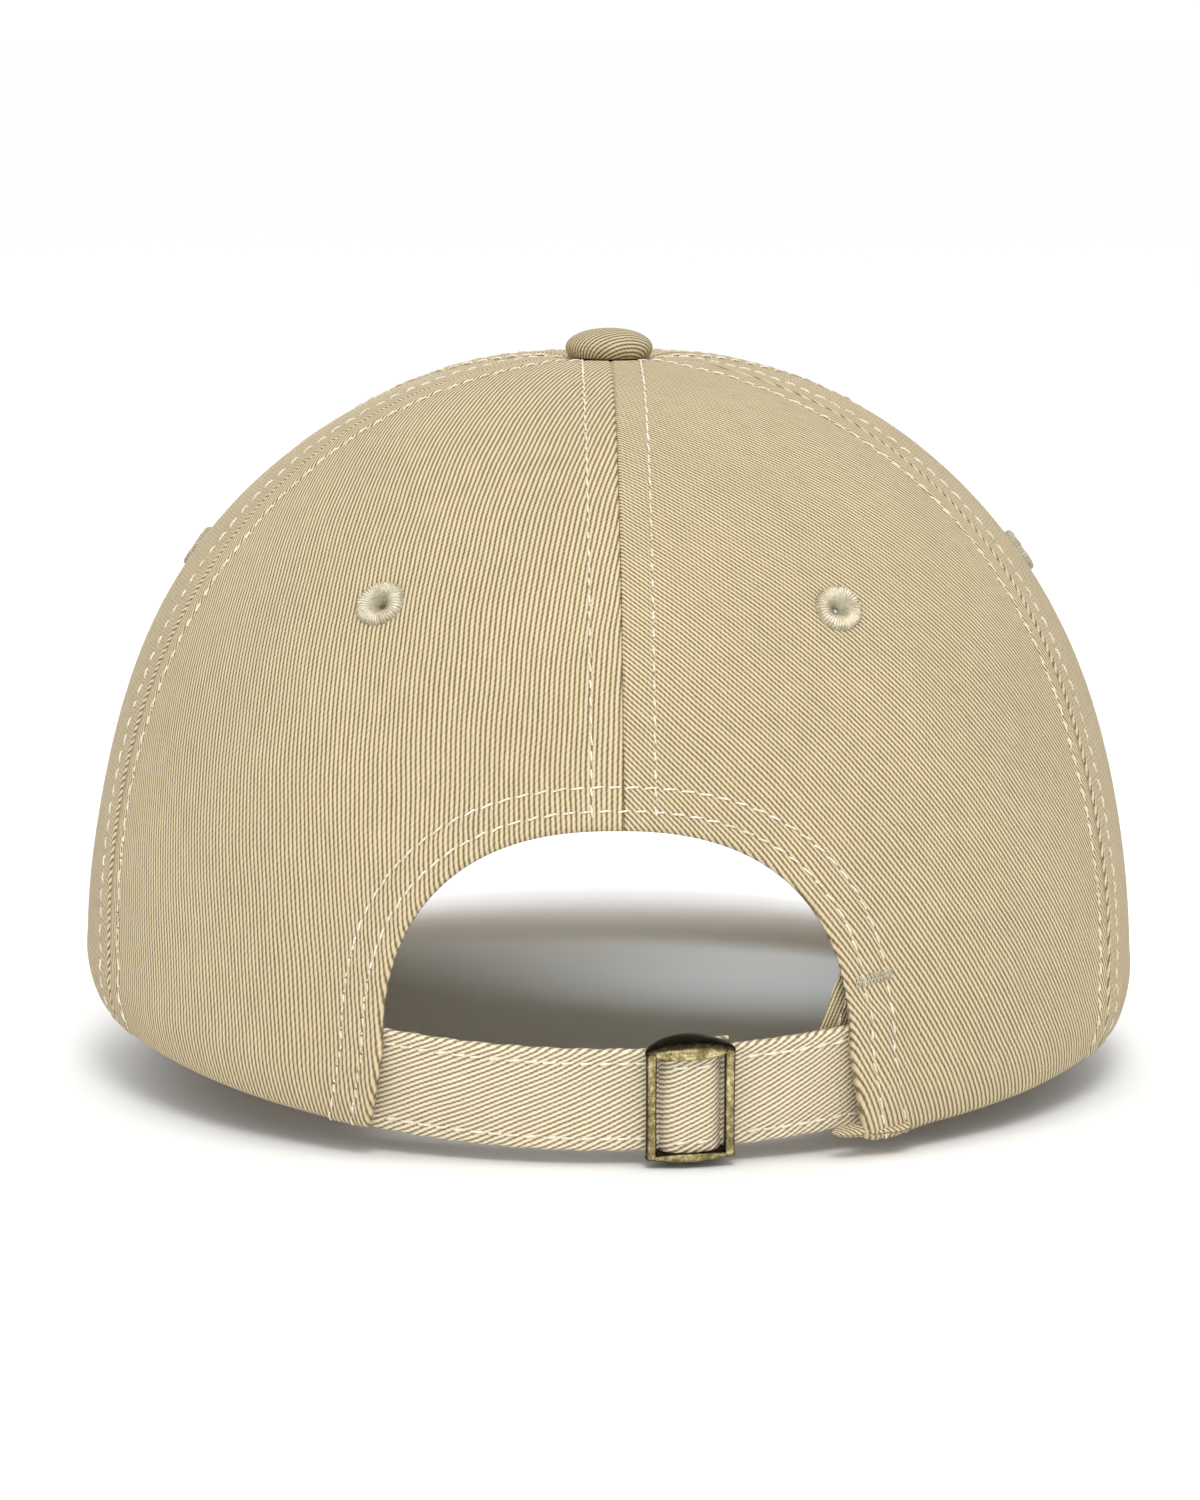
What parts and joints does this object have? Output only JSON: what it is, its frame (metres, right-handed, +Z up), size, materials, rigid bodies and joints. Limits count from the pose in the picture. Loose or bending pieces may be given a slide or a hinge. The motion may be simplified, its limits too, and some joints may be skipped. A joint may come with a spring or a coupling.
{
  "type": "baseball cap",
  "caption": "Cloth baseball cap with a curved visor, a covered top button, thread eyelets and a strap with a slide buckle across the arched back opening.",
  "frame": {"origin": "middle of the head opening, on the table that the cap rests on", "axes": "+Z up through the button's side of the crown, +Y forward over the visor, +X towards the wearer's right"},
  "size_m": [0.1938, 0.258, 0.1363],
  "materials": {
    "crown_twill": "cotton twill",
    "seam_tape": "woven tape",
    "eyelet_thread": "wound thread",
    "buckram": "stiffened open weave",
    "lining_twill": "cotton twill",
    "button_twill": "cotton twill",
    "button_metal": "pressed, satin",
    "strap_twill": "cotton twill",
    "buckle_brass": "antiqued, rubbed bright on the edges",
    "bar_tack_thread": "dense stitching",
    "sweatband_twill": "soft cotton twill",
    "sweatband_backing": "non-woven",
    "visor_twill": "cotton twill",
    "visor_board": "plain"
  },
  "bodies": {
    "crown": {"front_left_panel": "crown_twill", "front_right_panel": "crown_twill", "side_left_panel": "crown_twill", "side_right_panel": "crown_twill", "back_left_panel": "crown_twill", "back_right_panel": "crown_twill", "seam_tape_centre_back": "seam_tape", "seam_tape_centre_front": "seam_tape", "seam_tape_front_left": "seam_tape", "seam_tape_front_right": "seam_tape", "seam_tape_rear_left": "seam_tape", "seam_tape_rear_right": "seam_tape", "eyelet_back_left": "eyelet_thread", "eyelet_back_right": "eyelet_thread", "eyelet_side_left": "eyelet_thread", "eyelet_side_right": "eyelet_thread", "eyelet_front_left": "eyelet_thread", "eyelet_front_right": "eyelet_thread", "front_left_buckram": "buckram", "front_right_buckram": "buckram", "opening_facing": "lining_twill", "strap_pocket_lining": "lining_twill", "button_cover": "button_twill", "button_shell": "button_metal", "button_rivet": "button_metal", "button_washer": "button_metal", "strap": "strap_twill", "bar_tack": "bar_tack_thread", "sweatband": "sweatband_twill", "sweatband_backing": "sweatband_backing", "visor_top_cover": "visor_twill", "visor_under_cover": "visor_twill", "visor_board": "visor_board"},
    "tab": {"buckle_tab": "strap_twill"},
    "buckle": {"buckle": "buckle_brass"}
  },
  "joints": [
    {"name": "buckle_slide", "type": "hinge", "parent": "crown", "child": "tab", "pos_m": [0, -0.00233, 0.0324], "axis": [0, -0.225, 0.9744], "range_deg": [-27, 10]},
    {"name": "buckle_tilt", "type": "hinge", "parent": "tab", "child": "buckle", "pos_m": [0.01295, -0.08729, 0.01278], "axis": [0, -0.225, 0.9744], "range_deg": [-6, 6]}
  ]
}
